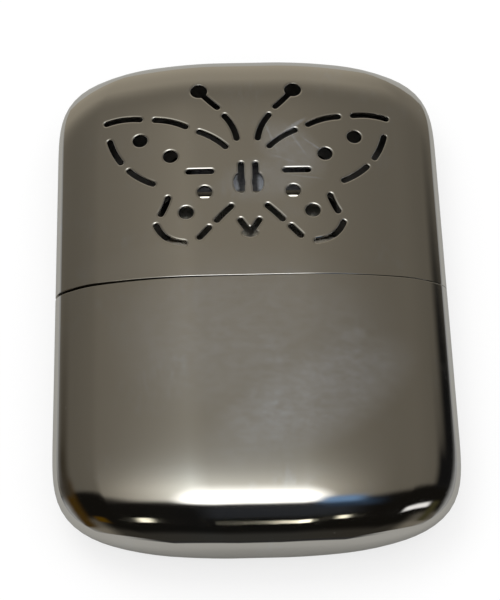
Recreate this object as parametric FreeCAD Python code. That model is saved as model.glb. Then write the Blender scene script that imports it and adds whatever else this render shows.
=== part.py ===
import FreeCAD, Part
import math
import os

# A catalytic hand warmer: a drawn metal fuel tank, a burner that pushes onto the
# tank's neck and a drawn lid with punched vents that slides over the tank's collar.
#
# It lies on its back. X is the width, Z the thickness and Y the length, with the lid
# towards +Y. The origin is under the middle of the case, on the surface it rests on.
# Sizes are in millimetres.

V = FreeCAD.Vector

# ---- case ---------------------------------------------------------------------------
WIDTH = 67.0
LENGTH = 97.0            # from the tank's closed end to the lid's closed end
THICKNESS = 13.0
LID_LENGTH = 48.3        # from the seam to the lid's closed end
FLAT_HALF_WIDTH = 8.0    # flat strip along the middle of the front and of the back
FACE_SLOPE = 11.0        # degrees that the face arc beside the strip falls away by
SHOULDER_SLOPE = 34.0    # degrees at the end of the shoulder arc, where the edge arc begins
EDGE_RADIUS = 2.55       # round the case's side
END_LENGTH = 23.0        # how long each rounded end is
END_START_POWER = 4.4    # how late an end starts to draw in
END_CORNER_POWER = 2.95  # how square its corners stay
WALL = 0.5
SEAM_GAP = 0.1
RIM_BEVEL = 0.15

# ---- tank deck and its collar ---------------------------------------------------------
COLLAR_HEIGHT = 8.5      # above the seam, inside the lid
COLLAR_DEPTH = 6.0       # below the seam, inside the tank
DECK_SHEET = 0.4
DECK_ROUND = 1.2
COLLAR_FIT = 0.1         # clearance round the collar, in the tank and in the lid
COLLAR_SEAT_RUN = 0.5    # how far its seat runs on past the collar in each shell

# ---- filler neck, its screen and the wick ------------------------------------------------
NECK_WIDTH = 30.0
NECK_HEIGHT = 7.5        # above the deck
NECK_SHEET = 0.4
NECK_FLANGE = 1.4        # how far the flange under the deck reaches out
FLANGE_FIT = 0.2         # clearance between the flange and the deck's wall
NECK_LIP_BEVEL = 0.15
SCREEN_SHEET = 0.3
SCREEN_SLOTS = 7
SCREEN_SLOT_WIDTH = 1.6
SCREEN_SLOT_PITCH = 3.2
SCREEN_MARGIN = 1.1      # metal left beyond the ends of each slot
FELT_LENGTH = 6.8
SEAT_FIT = 0.05          # clearance of fixed pieces in their seats
SOFT_FIT = 0.2           # clearance round felt and cotton

# ---- burner -------------------------------------------------------------------------
BURNER_FIT = 0.1         # clearance of the skirt over the neck
SKIRT_SHEET = 0.4
SKIRT_HEIGHT = 9.2
SKIRT_ROUND = 0.8
SKIRT_WINDOW_MARGIN = 1.6  # shoulder left between the skirt's window and the cage
CAGE_SHEET = 0.35
CAGE_HEIGHT = 10.0
CAGE_ROUND = 1.0
CAGE_FOOT = 0.5          # flange that the cage stands on
CAGE_WINDOWS = 3
CAGE_WINDOW_WIDTH = 5.6
CAGE_WINDOW_HEIGHT = 6.0
CAGE_WINDOW_SILL = 1.8
CAGE_BAR = 1.7           # metal between two windows
CAGE_END_WINDOW_DEPTH = 4.0  # of the window in each rounded end
CAGE_TOP_MARGIN = 2.0    # metal round the slot in the cage's top
GRID_SHEET = 0.3
GRID_SLOTS = 5
GRID_SLOT_WIDTH = 2.0
GRID_SLOT_PITCH = 4.6
GRID_MARGIN = 1.0
MAT_THICKNESS = 1.1
FIBRE_FIT = 0.1

# ---- vents: a butterfly of slots and holes ------------------------------------------------
# Places are (x, y) on the right half, with y measured from the seam. A slot runs
# between the centres of its round ends, and its bow is how far its middle stands off
# the straight line, to the left of the way it runs.
VENT_SLOT_WIDTH = 1.05
ANTENNA_DOT = (8.35, 39.1)
ANTENNA_DOT_DIAMETER = 3.0
SPOT_DIAMETER = 2.6
SPOTS = ((18.8, 28.75), (13.5, 24.95), (7.65, 17.15), (10.9, 13.0))
SLOTS = (
    (ANTENNA_DOT, (5.15, 35.35), 0.1),        # upper antenna
    ((3.9, 33.4), (1.85, 28.5), -0.35),       # lower antenna
    ((24.7, 33.15), (18.85, 33.4), -0.35),    # front wing, outer top
    ((16.15, 33.0), (10.8, 31.25), -0.3),     # front wing, middle top
    ((8.4, 30.0), (3.85, 26.75), -0.3),       # front wing, inner top
    ((24.1, 29.1), (22.2, 24.5), 0.2),        # front wing, side
    ((20.7, 22.45), (16.6, 19.35), 0.25),     # front wing, underside
    ((10.4, 21.5), (6.45, 21.5), 0.0),        # bar between the wings
    ((14.0, 16.1), (15.25, 12.9), -0.1),      # hind wing, side
    ((16.05, 10.55), (11.35, 6.75), 0.9),     # hind wing, round tip
    ((3.15, 14.1), (5.65, 11.3), 0.05),       # hind wing, inner edge
    ((7.05, 9.75), (8.65, 7.85), 0.0),        # hind wing, lower inner edge
    ((1.25, 22.9), (1.25, 17.4), 0.0),        # body
    ((1.6, 11.15), (0.0, 8.5), 0.0),          # tail
)
BODY_BULGE = ((1.6, 19.1), 1.0, 2.05)         # centre, half width and half height
TAIL_BASE = ((0.0, 8.55), 1.35, 0.8)

# ---- places that follow from the sizes ----------------------------------------------------
MID_Z = THICKNESS / 2
SEAM_Y = LENGTH / 2 - LID_LENGTH
DECK_TOP = SEAM_Y + COLLAR_HEIGHT
DECK_UNDERSIDE = DECK_TOP - DECK_SHEET
NECK_TOP = DECK_TOP + NECK_HEIGHT
DECK_SHRINK = WALL + COLLAR_FIT
CUP_HALF_DEPTH = MID_Z - DECK_SHRINK - DECK_SHEET
NECK_HALF = (NECK_WIDTH / 2, CUP_HALF_DEPTH - FLANGE_FIT - NECK_FLANGE)


def inset(half_sizes, amount):
    """Return a pair of half sizes made smaller all round."""
    return (half_sizes[0] - amount, half_sizes[1] - amount)


NECK_BORE_HALF = inset(NECK_HALF, NECK_SHEET)
SKIRT_BORE_HALF = inset(NECK_HALF, -BURNER_FIT)
SKIRT_HALF = inset(SKIRT_BORE_HALF, -SKIRT_SHEET)
SKIRT_TOP = DECK_TOP + SKIRT_HEIGHT
CAGE_FOOT_HALF = inset(SKIRT_HALF, SKIRT_ROUND)
CAGE_HALF = inset(CAGE_FOOT_HALF, CAGE_FOOT)
CAGE_BORE_HALF = inset(CAGE_HALF, CAGE_SHEET)
CAGE_TOP = SKIRT_TOP + CAGE_HEIGHT
WINDOW_PITCH = CAGE_WINDOW_WIDTH + CAGE_BAR
WINDOW_BOTTOM = SKIRT_TOP + CAGE_WINDOW_SILL
MAT_HALF = inset(CAGE_BORE_HALF, FIBRE_FIT)
MAT_BOTTOM = SKIRT_TOP + GRID_SHEET + FIBRE_FIT
MAT_TOP = CAGE_TOP - CAGE_SHEET - FIBRE_FIT

# How many sections a rounded form is lofted through, the steps in which a curve is drawn
# where a lighter form will do, and how far a cutter overruns.
END_STEPS = 10
CAVITY_STEPS = 6
WADDING_STEPS = 4
ROUND_STEPS = 3
LIGHT_TURN = 0.5         # radians from one straight side to the next
LIGHT_CHORD = 0.06       # how far a straight side may stand off the curve
OVERRUN = 1.0
ON_PLANE = 1e-4


# ---- blocks with a rounded top --------------------------------------------------------------
def rounded_block(wire_at, y_bottom, y_top, top_round):
    """Return a block along Y whose top edge is rounded.

    wire_at(shrink, y) gives the block's outline, smaller all round by shrink. Without a
    top_round the top edge is left sharp.
    """
    shoulder = y_top - top_round
    block = Part.Face(wire_at(0.0, y_bottom)).extrude(V(0, shoulder - y_bottom, 0))
    if top_round <= 0:
        return block
    sections = []
    for step in range(ROUND_STEPS + 1):
        angle = math.pi / 2 * step / ROUND_STEPS
        sections.append(wire_at(top_round * (1 - math.cos(angle)), shoulder + top_round * math.sin(angle)))
    return block.fuse(Part.makeLoft(sections, True, True))


def top_edges(shape, y):
    """Return the shape's edges that lie in the plane across the case at y."""
    return [edge for edge in shape.Edges
            if abs(edge.BoundBox.YMin - y) < ON_PLANE and abs(edge.BoundBox.YMax - y) < ON_PLANE]


def light_corners(outline):
    """Return the corners of a closed outline whose curves are drawn as short straight sides.

    It keeps the many small vents, and forms that are out of sight, light to mesh.
    """
    corners = []
    for edge in outline.OrderedEdges:
        if edge.Curve.TypeId == "Part::GeomLine":
            points = [edge.valueAt(edge.FirstParameter), edge.valueAt(edge.LastParameter)]
        else:
            points = edge.discretize(Angular=LIGHT_TURN, Curvature=LIGHT_CHORD)
        if edge.Orientation == "Reversed":
            points.reverse()
        corners += points[:-1]
    return corners


def flat_face(corners):
    """Return the flat face that has these corners."""
    return Part.Face(Part.makePolygon(corners + corners[:1]))


def flat_sided_solid(rings):
    """Return a solid through rings of corners, each ring a scaled copy of the one before."""
    faces = [flat_face(rings[0]), flat_face(rings[-1])]
    for ring, following in zip(rings, rings[1:]):
        for index, corner in enumerate(ring):
            faces.append(flat_face([ring[index - 1], corner, following[index], following[index - 1]]))
    return Part.Solid(Part.Shell(faces))


# ---- the case's drawn form ------------------------------------------------------------------
def flank_arcs(shrink):
    """Return the arcs of a section's front right quarter, from the strip to the side.

    Each is a centre, a radius and the angles it starts and ends at, from the Z axis.
    The face and shoulder radii follow from the width, the thickness and the slopes.
    """
    face, shoulder = math.radians(FACE_SLOPE), math.radians(SHOULDER_SLOPE)
    across = WIDTH / 2 - FLAT_HALF_WIDTH - EDGE_RADIUS * (1 - math.sin(shoulder))
    down = THICKNESS / 2 - EDGE_RADIUS * math.cos(shoulder)
    face_across, face_down = math.sin(face), 1 - math.cos(face)
    shoulder_across, shoulder_down = math.sin(shoulder) - math.sin(face), math.cos(face) - math.cos(shoulder)
    share = face_across * shoulder_down - shoulder_across * face_down
    face_radius = (across * shoulder_down - shoulder_across * down) / share
    shoulder_radius = (face_across * down - across * face_down) / share
    arcs = []
    centre = V(FLAT_HALF_WIDTH, 0, THICKNESS / 2 - face_radius)
    radii = (face_radius, shoulder_radius, EDGE_RADIUS)
    angles = (0.0, face, shoulder, math.pi / 2)
    for index, radius in enumerate(radii):
        if index > 0:
            centre += polar(radii[index - 1] - radius, angles[index])
        arcs.append((centre, radius - shrink, angles[index], angles[index + 1]))
    return arcs


def polar(radius, angle):
    """Return a step in the section's plane, at an angle from the Z axis."""
    return V(radius * math.sin(angle), 0, radius * math.cos(angle))


def section_wire(shrink, y, share=1.0):
    """Return a section of the case at y, smaller all round by shrink and then scaled by share."""
    def placed(point, side_x, side_z):
        return V(point.x * side_x * share, y, MID_Z + point.z * side_z * share)

    edges = []
    for centre, radius, start, end in flank_arcs(shrink):
        points = [centre + polar(radius, angle) for angle in (start, (start + end) / 2, end)]
        is_edge_arc = end > math.radians(SHOULDER_SLOPE)
        for side_x in (-1, 1):
            if is_edge_arc:
                edges.append(Part.Arc(placed(points[0], side_x, 1), placed(points[2], side_x, 1),
                                      placed(points[0], side_x, -1)))
                continue
            for side_z in (-1, 1):
                edges.append(Part.Arc(*[placed(point, side_x, side_z) for point in points]))
    corner = V(FLAT_HALF_WIDTH, 0, THICKNESS / 2 - shrink)
    for side_z in (-1, 1):
        edges.append(Part.LineSegment(placed(corner, -1, side_z), placed(corner, 1, side_z)))
    return Part.Wire(Part.__sortEdges__([edge.toShape() for edge in edges]))


def end_places(shrink, side, steps):
    """Return each y and share of the section through a closed end, up to its flat tip.

    The sections shrink along a superellipse. side is +1 for the lid and -1 for the tank.
    """
    start = LENGTH / 2 - END_LENGTH
    length = END_LENGTH - shrink
    angles = [math.pi / 2 * step / steps for step in range(steps)]
    tip = math.sin(angles[-1]) ** (2 / END_START_POWER)
    places = []
    for angle in angles:
        along = math.sin(angle) ** (2 / END_START_POWER) / tip
        share = math.cos(angle) ** (2 / END_CORNER_POWER)
        places.append((side * (start + length * along), share))
    return places


def case_form(shrink, side, y_open, steps):
    """Return one half of the case as a solid, smaller all round by shrink and flat at y_open."""
    places = end_places(shrink, side, steps)
    body = Part.Face(section_wire(shrink, y_open)).extrude(V(0, places[0][0] - y_open, 0))
    end = Part.makeLoft([section_wire(shrink, y, share) for y, share in places], True, True)
    return body.fuse(end)


def light_case_form(shrink, side, y_open, steps):
    """Return the same form with flat sides, for what is out of sight."""
    corners = light_corners(section_wire(shrink, y_open))
    rings = []
    for y, share in [(y_open, 1.0)] + end_places(shrink, side, steps):
        rings.append([V(c.x * share, y, MID_Z + (c.z - MID_Z) * share) for c in corners])
    return flat_sided_solid(rings)


def drawn_shell(side, seat_run):
    """Return one half of the case as an open shell with a bevelled outer rim.

    The collar's seat runs seat_run into it from the seam.
    """
    y_open = SEAM_Y + side * SEAM_GAP / 2
    y_beyond = y_open - side * OVERRUN
    form = case_form(0, side, y_open, END_STEPS)
    bevelled = form.makeChamfer(RIM_BEVEL, top_edges(form, y_open))
    cavity = light_case_form(WALL, side, y_beyond, CAVITY_STEPS)
    seat = Part.Face(section_wire(WALL, y_beyond)).extrude(V(0, SEAM_Y + side * seat_run - y_beyond, 0))
    return bevelled.cut(cavity).cut(seat)


# ---- ovals with straight sides, which the neck and burner are made of ---------------------------
def oval_wire(half_sizes, y):
    """Return a flat-sided oval across the case at y."""
    half_width, radius = half_sizes
    straight = half_width - radius
    corners = [V(straight, y, MID_Z - radius), V(straight, y, MID_Z + radius),
               V(-straight, y, MID_Z + radius), V(-straight, y, MID_Z - radius)]
    return Part.Wire([
        Part.Arc(corners[0], V(half_width, y, MID_Z), corners[1]).toShape(),
        Part.LineSegment(corners[1], corners[2]).toShape(),
        Part.Arc(corners[2], V(-half_width, y, MID_Z), corners[3]).toShape(),
        Part.LineSegment(corners[3], corners[0]).toShape()])


def oval(half_sizes, y_bottom, y_top, top_round=0.0):
    """Return an oval block, with its top edge rounded if top_round is given."""
    return rounded_block(lambda shrink, y: oval_wire(inset(half_sizes, shrink), y), y_bottom, y_top, top_round)


def drawn_oval_cap(half_sizes, sheet, y_bottom, y_top, top_round):
    """Return an oval cap of sheet metal, open at the bottom."""
    return oval(half_sizes, y_bottom, y_top, top_round).cut(
        oval(inset(half_sizes, sheet), y_bottom - OVERRUN, y_top - sheet))


def slotted_plate(half_sizes, sheet, y_bottom, count, slot_width, pitch, margin):
    """Return an oval plate with a row of slots through it."""
    plate = oval(half_sizes, y_bottom, y_bottom + sheet)
    slot_depth = 2 * (half_sizes[1] - margin)
    slots = []
    for index in range(count):
        x = (index - (count - 1) / 2) * pitch
        corner = V(x - slot_width / 2, y_bottom - OVERRUN, MID_Z - slot_depth / 2)
        slots.append(Part.makeBox(slot_width, sheet + 2 * OVERRUN, slot_depth, corner))
    return plate.cut(Part.makeCompound(slots))


# ---- vents ----------------------------------------------------------------------------------
def vent(outline):
    """Return a cutter for the front face, straight through it from the case's middle."""
    return flat_face(light_corners(outline)).extrude(V(0, 0, MID_Z + OVERRUN))


def vent_disc(centre, diameter):
    """Return a round cutter."""
    middle = V(centre[0], SEAM_Y + centre[1], MID_Z)
    return vent(Part.Wire(Part.Circle(middle, V(0, 0, 1), diameter / 2).toShape()))


def vent_ellipse(centre, half_width, half_height):
    """Return an oval cutter."""
    middle = V(centre[0], SEAM_Y + centre[1], MID_Z)
    if half_height > half_width:
        ellipse = Part.Ellipse(middle + V(0, half_height, 0), middle + V(half_width, 0, 0), middle)
    else:
        ellipse = Part.Ellipse(middle + V(half_width, 0, 0), middle + V(0, half_height, 0), middle)
    return vent(Part.Wire(ellipse.toShape()))


def straight_outline(start, end, radius):
    """Return the outline of a straight slot with round ends."""
    way = (end - start).normalize()
    left = V(-way.y, way.x, 0) * radius
    return Part.Wire([
        Part.LineSegment(end + left, start + left).toShape(),
        Part.Arc(start + left, start - way * radius, start - left).toShape(),
        Part.LineSegment(start - left, end - left).toShape(),
        Part.Arc(end - left, end + way * radius, end + left).toShape()])


def vent_slot(start, end, bow):
    """Return a cutter for a slot with round ends, straight or bowed."""
    start = V(start[0], SEAM_Y + start[1], MID_Z)
    end = V(end[0], SEAM_Y + end[1], MID_Z)
    radius = VENT_SLOT_WIDTH / 2
    if bow == 0:
        outline = straight_outline(start, end, radius)
    else:
        way = (end - start).normalize()
        middle = (start + end) / 2 + V(-way.y, way.x, 0) * bow
        outline = Part.Wire(Part.Arc(start, middle, end).toShape()).makeOffset2D(radius)
    return vent(outline)


def butterfly():
    """Return every vent's cutter as one compound, both halves of the figure."""
    half = [vent_slot(*slot) for slot in SLOTS]
    half += [vent_disc(centre, SPOT_DIAMETER) for centre in SPOTS]
    half += [vent_disc(ANTENNA_DOT, ANTENNA_DOT_DIAMETER), vent_ellipse(*BODY_BULGE)]
    other_half = [cutter.mirror(V(0, 0, 0), V(1, 0, 0)) for cutter in half]
    cutters = half + other_half + [vent_ellipse(*TAIL_BASE)]
    return cutters[0].multiFuse(cutters[1:])


# ---- lid and tank -----------------------------------------------------------------------------
def lid_shell():
    """Return the drawn lid, its front punched with the vents."""
    return drawn_shell(1, COLLAR_HEIGHT + COLLAR_SEAT_RUN).cut(butterfly())


def tank_shell():
    """Return the drawn fuel tank."""
    return drawn_shell(-1, COLLAR_DEPTH + COLLAR_SEAT_RUN)


def section_block(shrink, y_bottom, y_top, top_round=0.0):
    """Return a straight length of the case's section, with its top edge rounded if asked."""
    return rounded_block(lambda more, y: section_wire(shrink + more, y), y_bottom, y_top, top_round)


def tank_deck():
    """Return the drawn cup that closes the tank, its wall standing up as the lid's collar."""
    bottom = SEAM_Y - COLLAR_DEPTH
    outer = section_block(DECK_SHRINK, bottom, DECK_TOP, DECK_ROUND)
    inner = section_block(DECK_SHRINK + DECK_SHEET, bottom - OVERRUN, DECK_UNDERSIDE)
    neck_hole = oval(inset(NECK_HALF, -SEAT_FIT), DECK_UNDERSIDE - OVERRUN, DECK_TOP + OVERRUN)
    return outer.cut(inner).cut(neck_hole)


def filler_neck():
    """Return the neck with the flange that it hangs from under the deck."""
    flange_bottom = DECK_UNDERSIDE - NECK_SHEET
    flange = oval(inset(NECK_HALF, -NECK_FLANGE), flange_bottom, DECK_UNDERSIDE)
    tube = oval(NECK_HALF, flange_bottom, NECK_TOP)
    tube = tube.makeChamfer(NECK_LIP_BEVEL, top_edges(tube, NECK_TOP))
    bore = oval(NECK_BORE_HALF, flange_bottom - OVERRUN, NECK_TOP + OVERRUN)
    return flange.fuse(tube).cut(bore).removeSplitter()


def neck_screen():
    """Return the slotted plate that keeps the wick down in the neck."""
    return slotted_plate(inset(NECK_BORE_HALF, SEAT_FIT), SCREEN_SHEET, DECK_TOP, SCREEN_SLOTS,
                         SCREEN_SLOT_WIDTH, SCREEN_SLOT_PITCH, SCREEN_MARGIN)


def wick_felt():
    """Return the felt plug between the screen and the cotton."""
    top = DECK_TOP - SEAT_FIT
    return oval(inset(NECK_BORE_HALF, SOFT_FIT), top - FELT_LENGTH, top)


def cotton_wadding():
    """Return the cotton that fills the tank, with a pocket for the felt."""
    shrink = DECK_SHRINK + DECK_SHEET + SOFT_FIT
    top = DECK_UNDERSIDE - NECK_SHEET - SOFT_FIT
    pocket = oval(NECK_BORE_HALF, DECK_TOP - SEAT_FIT - FELT_LENGTH - SOFT_FIT, top + OVERRUN)
    return light_case_form(shrink, -1, top, WADDING_STEPS).cut(pocket)


# ---- burner -------------------------------------------------------------------------------
def burner_skirt():
    """Return the oval cap that slides over the neck, with a window for the vapour."""
    cap = drawn_oval_cap(SKIRT_HALF, SKIRT_SHEET, DECK_TOP + SEAT_FIT, SKIRT_TOP, SKIRT_ROUND)
    window = oval(inset(CAGE_BORE_HALF, SKIRT_WINDOW_MARGIN), SKIRT_TOP - OVERRUN, SKIRT_TOP + OVERRUN)
    return cap.cut(window)


def cage_window(x):
    """Return a cutter for one window, through the cage's front and back."""
    depth = 2 * (CAGE_HALF[1] + OVERRUN)
    corner = V(x - CAGE_WINDOW_WIDTH / 2, WINDOW_BOTTOM, MID_Z - depth / 2)
    return Part.makeBox(CAGE_WINDOW_WIDTH, CAGE_WINDOW_HEIGHT, depth, corner)


def burner_frame():
    """Return the cage that holds the catalyst: windows all round, a slotted top and a foot."""
    cage = drawn_oval_cap(CAGE_HALF, CAGE_SHEET, SKIRT_TOP, CAGE_TOP, CAGE_ROUND)
    foot = oval(CAGE_FOOT_HALF, SKIRT_TOP, SKIRT_TOP + CAGE_SHEET).cut(
        oval(CAGE_BORE_HALF, SKIRT_TOP - OVERRUN, SKIRT_TOP + OVERRUN))
    reach = CAGE_HALF[0] + OVERRUN
    cutters = [oval(inset(CAGE_HALF, CAGE_TOP_MARGIN), CAGE_TOP - OVERRUN, CAGE_TOP + OVERRUN),
               Part.makeBox(2 * reach, CAGE_WINDOW_HEIGHT, CAGE_END_WINDOW_DEPTH,
                            V(-reach, WINDOW_BOTTOM, MID_Z - CAGE_END_WINDOW_DEPTH / 2))]
    for index in range(CAGE_WINDOWS):
        cutters.append(cage_window((index - (CAGE_WINDOWS - 1) / 2) * WINDOW_PITCH))
    return cage.fuse(foot).cut(Part.makeCompound(cutters)).removeSplitter()


def support_grid():
    """Return the slotted plate that the catalyst rests on."""
    return slotted_plate(inset(CAGE_BORE_HALF, SEAT_FIT), GRID_SHEET, SKIRT_TOP, GRID_SLOTS,
                         GRID_SLOT_WIDTH, GRID_SLOT_PITCH, GRID_MARGIN)


def catalyst_mat():
    """Return the platinum-treated fibre mat, folded over the core."""
    return oval(MAT_HALF, MAT_BOTTOM, MAT_TOP).cut(
        oval(inset(MAT_HALF, MAT_THICKNESS), MAT_BOTTOM - OVERRUN, MAT_TOP - MAT_THICKNESS))


def fibre_core():
    """Return the plain glass-fibre core inside the mat."""
    return oval(inset(MAT_HALF, MAT_THICKNESS + FIBRE_FIT), MAT_BOTTOM, MAT_TOP - MAT_THICKNESS - FIBRE_FIT)


PIECES = (lid_shell, tank_shell, tank_deck, filler_neck, neck_screen, wick_felt, cotton_wadding,
          burner_skirt, burner_frame, support_grid, catalyst_mat, fibre_core)


def main():
    """Build each piece and write it to its own STEP file."""
    os.makedirs("parts", exist_ok=True)
    for piece in PIECES:
        shape = piece()
        shape.exportStep(f"parts/{piece.__name__}.step")
        print(f"{piece.__name__}: {len(shape.Solids)} solid(s), {shape.Volume:.1f} mm3, valid {shape.isValid()}")


main()
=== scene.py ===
import math
from functools import cache, partialmethod

import bpy
from bpy.props import FloatProperty, FloatVectorProperty, IntProperty, PointerProperty
from mathutils import Matrix, Vector, noise
from mathutils.geometry import delaunay_2d_cdt


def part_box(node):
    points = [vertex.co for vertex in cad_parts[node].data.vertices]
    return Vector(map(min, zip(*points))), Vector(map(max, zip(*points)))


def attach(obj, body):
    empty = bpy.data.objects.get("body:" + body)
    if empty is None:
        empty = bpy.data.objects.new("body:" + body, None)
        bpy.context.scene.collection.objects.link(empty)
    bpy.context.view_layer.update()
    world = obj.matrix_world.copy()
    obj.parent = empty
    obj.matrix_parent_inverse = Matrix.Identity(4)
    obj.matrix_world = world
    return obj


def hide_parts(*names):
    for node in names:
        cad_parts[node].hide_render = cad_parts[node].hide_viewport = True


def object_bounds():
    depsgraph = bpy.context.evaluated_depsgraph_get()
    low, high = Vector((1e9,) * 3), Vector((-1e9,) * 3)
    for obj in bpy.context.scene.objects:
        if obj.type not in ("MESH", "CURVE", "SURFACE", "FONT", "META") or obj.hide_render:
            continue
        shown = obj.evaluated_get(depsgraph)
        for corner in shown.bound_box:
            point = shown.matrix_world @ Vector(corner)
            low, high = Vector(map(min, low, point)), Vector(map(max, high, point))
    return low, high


bl_info = {
    "name": "Catalytic Hand Warmer",
    "version": (1, 0, 0),
    "blender": (4, 5, 0),
    "location": "View3D > Sidebar > Hand Warmer",
    "description": "Builds the vented case, the burner and the stage of a catalytic hand warmer",
    "category": "Add Mesh",
}

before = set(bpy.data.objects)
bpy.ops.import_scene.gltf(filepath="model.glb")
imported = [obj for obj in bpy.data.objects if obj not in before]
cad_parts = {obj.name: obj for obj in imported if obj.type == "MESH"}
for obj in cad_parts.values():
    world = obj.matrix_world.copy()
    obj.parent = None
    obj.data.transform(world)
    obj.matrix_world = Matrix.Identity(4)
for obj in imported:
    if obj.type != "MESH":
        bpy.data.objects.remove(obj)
CAD_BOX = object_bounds()
CAD_SIZE = CAD_BOX[1] - CAD_BOX[0]

# The meshes are worked out in millimetres and set down in metres.
MM = 0.001
TURN = 2 * math.pi
QUARTER = math.pi / 2

# Vents of the butterfly, right half, from the seam up. A slot runs between the centres of its
# round ends, and its bow is how far its middle stands off the straight line, to the left.
ANTENNA_DOT = (8.35, 39.1)
SPOTS = ((18.8, 28.75), (13.5, 24.95), (7.65, 17.15), (10.9, 13.0))
SLOTS = (
    (ANTENNA_DOT, (5.15, 35.35), 0.1),
    ((3.9, 33.4), (1.85, 28.5), -0.35),
    ((24.7, 33.15), (18.85, 33.4), -0.35),
    ((16.15, 33.0), (10.8, 31.25), -0.3),
    ((8.4, 30.0), (3.85, 26.75), -0.3),
    ((24.1, 29.1), (22.2, 24.5), 0.2),
    ((20.7, 22.45), (16.6, 19.35), 0.25),
    ((10.4, 21.5), (6.45, 21.5), 0.0),
    ((14.0, 16.1), (15.25, 12.9), -0.1),
    ((16.05, 10.55), (11.35, 6.75), 0.9),
    ((3.15, 14.1), (5.65, 11.3), 0.05),
    ((7.05, 9.75), (8.65, 7.85), 0.0),
    ((1.25, 22.9), (1.25, 17.4), 0.0),
    ((1.6, 11.15), (0.0, 8.5), 0.0),
)
# The ovals that widen the body's slots and join the tail's: middle and half sizes.
BODY_BULGE = ((1.6, 19.1), (1.0, 2.05))
TAIL_BASE = ((0.0, 8.55), (1.35, 0.8))


def length(name, text, default):
    """Return a length property; default is in millimetres."""
    return FloatProperty(name=name, description=text, default=default * MM, min=0.0, precision=5,
                         unit="LENGTH")


def colour(name, text, default):
    """Return a colour property."""
    return FloatVectorProperty(name=name, description=text, default=default, size=3, min=0.0, max=1.0,
                               subtype="COLOR")


class WarmerCase(bpy.types.PropertyGroup):
    """Sizes of the drawn case."""
    width: length("Width", "Width of the case", CAD_SIZE.x / MM)
    long: length("Length", "Length of the closed case", CAD_SIZE.y / MM)
    thick: length("Thickness", "Thickness of the case", CAD_SIZE.z / MM)
    lid_long: length("Lid length", "Length of the lid from the seam", 48.3)
    flat: length("Flat half width", "Half width of the flat strip along the middle", 8.0)
    edge: length("Edge radius", "Radius round the side of the case", 2.55)
    end: length("End length", "Length of each rounded end", 23.0)
    wall: length("Wall", "Thickness of the drawn sheet", 0.5)
    seam: length("Seam gap", "Gap between lid and tank", 0.1)
    rim: length("Rim", "Width of the dubbed edge round the open rims", 0.13)
    slack: length("Slack", "How much wider the seam gapes at the left side", 0.50)
    face_slope: FloatProperty(name="Face slope", description="Angle at the end of the face arc",
                              default=math.radians(11), subtype="ANGLE")
    shoulder_slope: FloatProperty(name="Shoulder slope", description="Angle at the end of the shoulder arc",
                                  default=math.radians(34), subtype="ANGLE")
    start_power: FloatProperty(name="End start", default=4.4,
                               description="How late an end starts to draw in")
    corner_power: FloatProperty(name="End corners", default=2.95,
                                description="How square an end's corners stay")


class WarmerVents(bpy.types.PropertyGroup):
    """Sizes of the punched vents."""
    slot: length("Slot width", "Width of every slot", 1.05)
    dot: length("Antenna dot", "Diameter of the dot on each antenna", 3.0)
    spot: length("Wing spot", "Diameter of the round holes in the wings", 2.6)
    lip: length("Lip", "Width of the dubbed edge round each vent", 0.38)


class WarmerBurner(bpy.types.PropertyGroup):
    """Sizes of the soft pieces inside."""
    nap: length("Nap", "Height of the tufts on the catalyst, its core and the felt", 0.22)
    lump: length("Cotton lumps", "Height of the lumps in the wadding", 0.35)


class WarmerFinish(bpy.types.PropertyGroup):
    """Colours of the materials."""
    chrome: colour("Chrome", "Plated case", (0.62, 0.60, 0.57))
    steel: colour("Steel", "Deck, neck and screen", (0.62, 0.60, 0.57))
    nickel: colour("Nickel", "Burner", (0.66, 0.64, 0.58))
    catalyst: colour("Catalyst", "Fibre mat that carries the platinum", (0.15, 0.15, 0.15))
    glass: colour("Glass fibre", "Core of the catalyst", (0.85, 0.85, 0.83))
    felt: colour("Felt", "Wick felt", (0.78, 0.76, 0.70))
    cotton: colour("Cotton", "Wadding in the tank", (0.90, 0.89, 0.85))


# ---- shader sums
# The sockets of a Mix node that mixes colours.
MIX_SHARE, MIX_FIRST, MIX_SECOND, MIX_RESULT = 0, 6, 7, 2


class Socket:
    """A shader output that takes part in Python sums."""

    def __init__(self, shader, socket):
        self.shader, self.socket = shader, socket

    def maths(self, operation, *others):
        """Return a sum with this socket first."""
        return self.shader.maths(operation, self, *others)

    def __rsub__(self, other):
        return self.shader.maths("SUBTRACT", other, self)

    __add__ = __radd__ = partialmethod(maths, "ADD")
    __sub__ = partialmethod(maths, "SUBTRACT")
    __mul__ = __rmul__ = partialmethod(maths, "MULTIPLY")
    __truediv__ = partialmethod(maths, "DIVIDE")
    __pow__ = partialmethod(maths, "POWER")

    def step(self, low, high):
        """Return a smooth climb from 0 at low to 1 at high."""
        return self.shader.node("ShaderNodeMapRange", {"interpolation_type": "SMOOTHSTEP"},
                                {"Value": self, "From Min": low, "From Max": high})

    def between(self, low, high, soft):
        """Return 1 from low to high with soft edges, and 0 outside."""
        return self.step(low - soft, low + soft) * self.step(high + soft, high - soft)


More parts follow.
